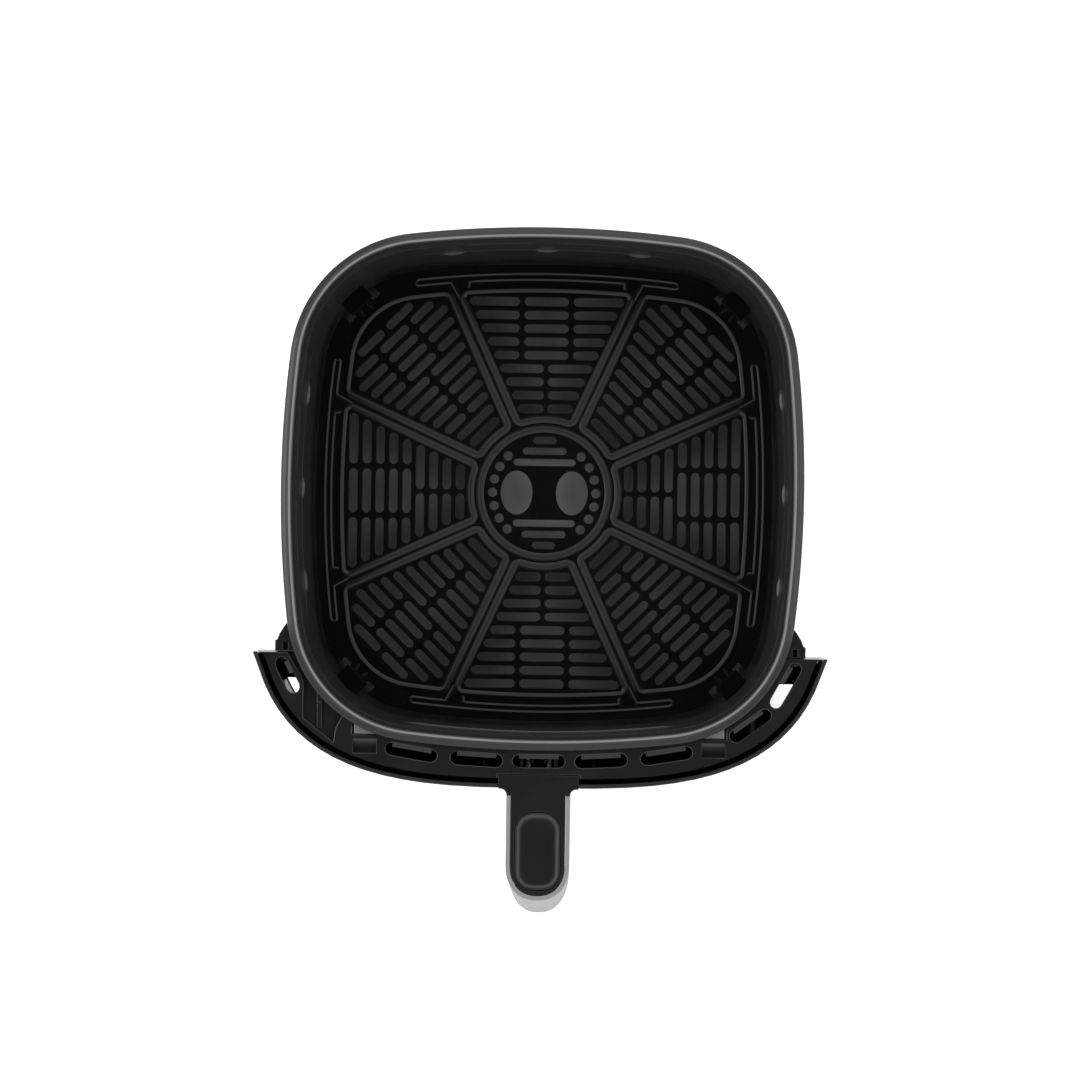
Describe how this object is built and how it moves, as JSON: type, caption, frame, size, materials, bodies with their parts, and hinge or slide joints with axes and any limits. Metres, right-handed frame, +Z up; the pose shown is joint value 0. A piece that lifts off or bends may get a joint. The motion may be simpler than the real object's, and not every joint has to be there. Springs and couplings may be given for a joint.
{
  "type": "air fryer drawer",
  "caption": "Pull-out air fryer drawer: a square-round coated pan hung in a slotted front frame with a curved fascia and D handle, and a lift-out perforated crisper plate.",
  "frame": {"origin": "centre of the pan's base, on the surface it stands on", "axes": "+Z up, -Y towards the handle, +X to the right for someone who faces the handle"},
  "size_m": [0.275, 0.3353, 0.0962],
  "materials": {
    "coated_steel": "non-stick coating, satin",
    "coated_plate": "non-stick coating, satin",
    "silicone": "matt silicone",
    "black_plastic": "fine texture",
    "fascia_plastic": "satin, with glossy ends",
    "bright_trim": "silver metallic paint",
    "soft_touch": "soft matt",
    "zinc_steel": "zinc plated"
  },
  "bodies": {
    "drawer": {"pan": "coated_steel", "front_frame": "black_plastic", "fascia": "fascia_plastic", "handle_shell": "bright_trim", "handle_core": "black_plastic", "handle_top_insert": "black_plastic", "thumb_pad": "soft_touch", "handle_plate": "zinc_steel", "interlock_tab": "black_plastic", "side_guide_left": "black_plastic", "side_guide_right": "black_plastic", "pan_bracket_left": "zinc_steel", "pan_bracket_right": "zinc_steel", "bracket_screw_left": "zinc_steel", "bracket_screw_right": "zinc_steel", "guide_screw_left": "zinc_steel", "guide_screw_right": "zinc_steel", "handle_screw_upper_left": "zinc_steel", "handle_screw_upper_right": "zinc_steel", "handle_screw_lower_left": "zinc_steel", "handle_screw_lower_right": "zinc_steel", "fascia_screw_inner_left": "zinc_steel", "fascia_screw_inner_right": "zinc_steel", "fascia_screw_outer_left": "zinc_steel", "fascia_screw_outer_right": "zinc_steel"},
    "crisper_tray": {"crisper_plate": "coated_plate", "bumper_back_right": "silicone", "bumper_back_left": "silicone", "bumper_front_left": "silicone", "bumper_front_right": "silicone"}
  },
  "joints": [
    {"name": "plate_lift", "type": "slide", "parent": "drawer", "child": "crisper_tray", "axis": [0, 0, 1], "range_m": [0, 0.12]}
  ]
}
